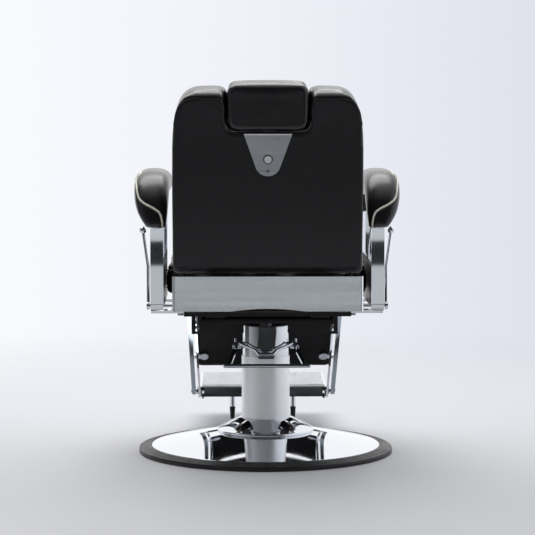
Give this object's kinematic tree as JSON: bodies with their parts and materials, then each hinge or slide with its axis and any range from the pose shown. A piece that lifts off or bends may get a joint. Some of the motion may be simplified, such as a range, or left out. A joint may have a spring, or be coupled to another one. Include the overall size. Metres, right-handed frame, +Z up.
{
  "type": "hydraulic barber chair",
  "caption": "Black upholstered barber chair with a reclining back, lifting leg rest, sliding headrest, padded arms on chrome bands and a pedal-pumped column on a round chrome base.",
  "frame": {"origin": "centre of the base's underside, on the floor", "axes": "+Z up, the sitter faces -Y, +X is the sitter's left"},
  "size_m": [0.698, 1.0702, 1.0176],
  "materials": {
    "chrome": "mirror polished chrome plate",
    "satin_steel": "satin stainless",
    "ram_steel": "ground steel",
    "brushed_steel": "fine brushed",
    "black_steel": "semi-gloss black paint",
    "rubber": "moulded rubber",
    "leather": "soft grained upholstery with a low sheen",
    "wood": "bare plywood",
    "bronze": "machined",
    "tread": "ribbed, satin",
    "piping": "smooth cream piping",
    "stitching": "sewn thread"
  },
  "bodies": {
    "base": {"base_disc": "satin_steel", "base_ring": "rubber", "base_cover": "chrome", "base_collar": "chrome", "column_tube": "satin_steel", "pump_shroud": "chrome", "shroud_cap": "black_steel", "pump_cylinder": "satin_steel", "oil_reservoir": "satin_steel", "cylinder_gland": "bronze", "pedal_pins": "chrome"},
    "pump_pedal": {"pedal_yoke": "chrome", "pedal_arms": "chrome", "pedal_bar": "chrome"},
    "ram": {"ram_rod": "ram_steel", "piston_head": "black_steel", "ram_flange": "ram_steel"},
    "seat": {"swivel_socket": "black_steel", "swivel_plate": "black_steel", "side_rails": "black_steel", "pivot_lugs": "black_steel", "front_plate": "black_steel", "rear_crossbar": "black_steel", "hinge_brackets": "black_steel", "hinge_pins": "ram_steel", "seat_board": "wood", "seat_cushion": "leather", "rear_apron": "chrome", "arm_band_left": "chrome", "arm_band_right": "chrome", "arm_pad_left": "leather", "arm_pad_right": "leather", "side_panels": "black_steel", "arm_brackets": "chrome", "frame_bolts": "ram_steel"},
    "recline_levers": {"lever_shaft": "ram_steel", "recline_levers": "chrome", "lever_knobs": "chrome"},
    "backrest": {"back_board": "wood", "back_cushion": "leather", "back_panel": "leather", "back_arms": "black_steel", "headrest_plate": "brushed_steel", "plate_screw": "ram_steel", "post_guide": "black_steel"},
    "headrest_post": {"headrest_post": "chrome", "tilt_pin": "ram_steel"},
    "headrest": {"headrest_pad": "leather", "headrest_bracket": "black_steel"},
    "release_button": {"release_button": "brushed_steel"},
    "legrest": {"legrest_arms": "chrome", "legrest_shaft": "ram_steel", "legrest_pad": "leather", "pad_brackets": "brushed_steel"},
    "footrest": {"footrest_bar": "chrome", "tread_plate": "tread", "footrest_posts": "chrome", "post_tips": "rubber"},
    "leg_struts": {"leg_struts": "chrome"},
    "push_rods": {"push_rods": "black_steel"}
  },
  "joints": [
    {"name": "pedal_press", "type": "hinge", "parent": "base", "child": "pump_pedal", "pos_m": [0, 0, 0.289], "axis": [-1, 0, 0], "range_deg": [0, 12], "stiffness_Nm_per_rad": 10, "springref_deg": -28.65},
    {"name": "ram_lift", "type": "slide", "parent": "base", "child": "ram", "axis": [0, 0, 1], "range_m": [0, 0.16]},
    {"name": "seat_swivel", "type": "hinge", "parent": "ram", "child": "seat", "pos_m": [0, 0, 0.38], "axis": [0, 0, 1], "continuous": true},
    {"name": "lever_pull", "type": "hinge", "parent": "seat", "child": "recline_levers", "pos_m": [0, 0.262, 0.424], "axis": [-1, 0, 0], "range_deg": [0, 10], "stiffness_Nm_per_rad": 4, "springref_deg": -17.19},
    {"name": "backrest_recline", "type": "hinge", "parent": "seat", "child": "backrest", "pos_m": [0, 0.265, 0.5], "axis": [-1, 0, 0], "range_deg": [0, 40]},
    {"name": "headrest_slide", "type": "slide", "parent": "backrest", "child": "headrest_post", "axis": [0, 0.1392, 0.9903], "range_m": [0, 0.11]},
    {"name": "headrest_tilt", "type": "hinge", "parent": "headrest_post", "child": "headrest", "pos_m": [0, 0.34406, 0.93321], "axis": [-1, 0, 0], "range_deg": [0, 20]},
    {"name": "button_press", "type": "slide", "parent": "backrest", "child": "release_button", "axis": [0, -0.9903, 0.1392], "range_m": [0, 0.004], "stiffness_N_per_m": 300, "springref_m": -0.004},
    {"name": "legrest_lift", "type": "hinge", "parent": "seat", "child": "legrest", "pos_m": [0, -0.18, 0.378], "axis": [-1, 0, 0], "range_deg": [0, 40]},
    {"name": "footrest_level", "type": "hinge", "parent": "legrest", "child": "footrest", "pos_m": [0, -0.4, 0.11], "axis": [-1, 0, 0], "range_deg": [-40, 0]},
    {"name": "strut_swing", "type": "hinge", "parent": "seat", "child": "leg_struts", "pos_m": [0, -0.162, 0.366], "axis": [-1, 0, 0], "range_deg": [0, 40]},
    {"name": "push_rod_swing", "type": "hinge", "parent": "backrest", "child": "push_rods", "pos_m": [0, 0.265, 0.44], "axis": [-1, 0, 0], "range_deg": [-40, 0]}
  ],
  "couplings": [
    {"joint": "legrest_lift", "follows": "backrest_recline", "ratio": 1},
    {"joint": "footrest_level", "follows": "backrest_recline", "ratio": -1},
    {"joint": "strut_swing", "follows": "backrest_recline", "ratio": 1},
    {"joint": "push_rod_swing", "follows": "backrest_recline", "ratio": -1}
  ]
}
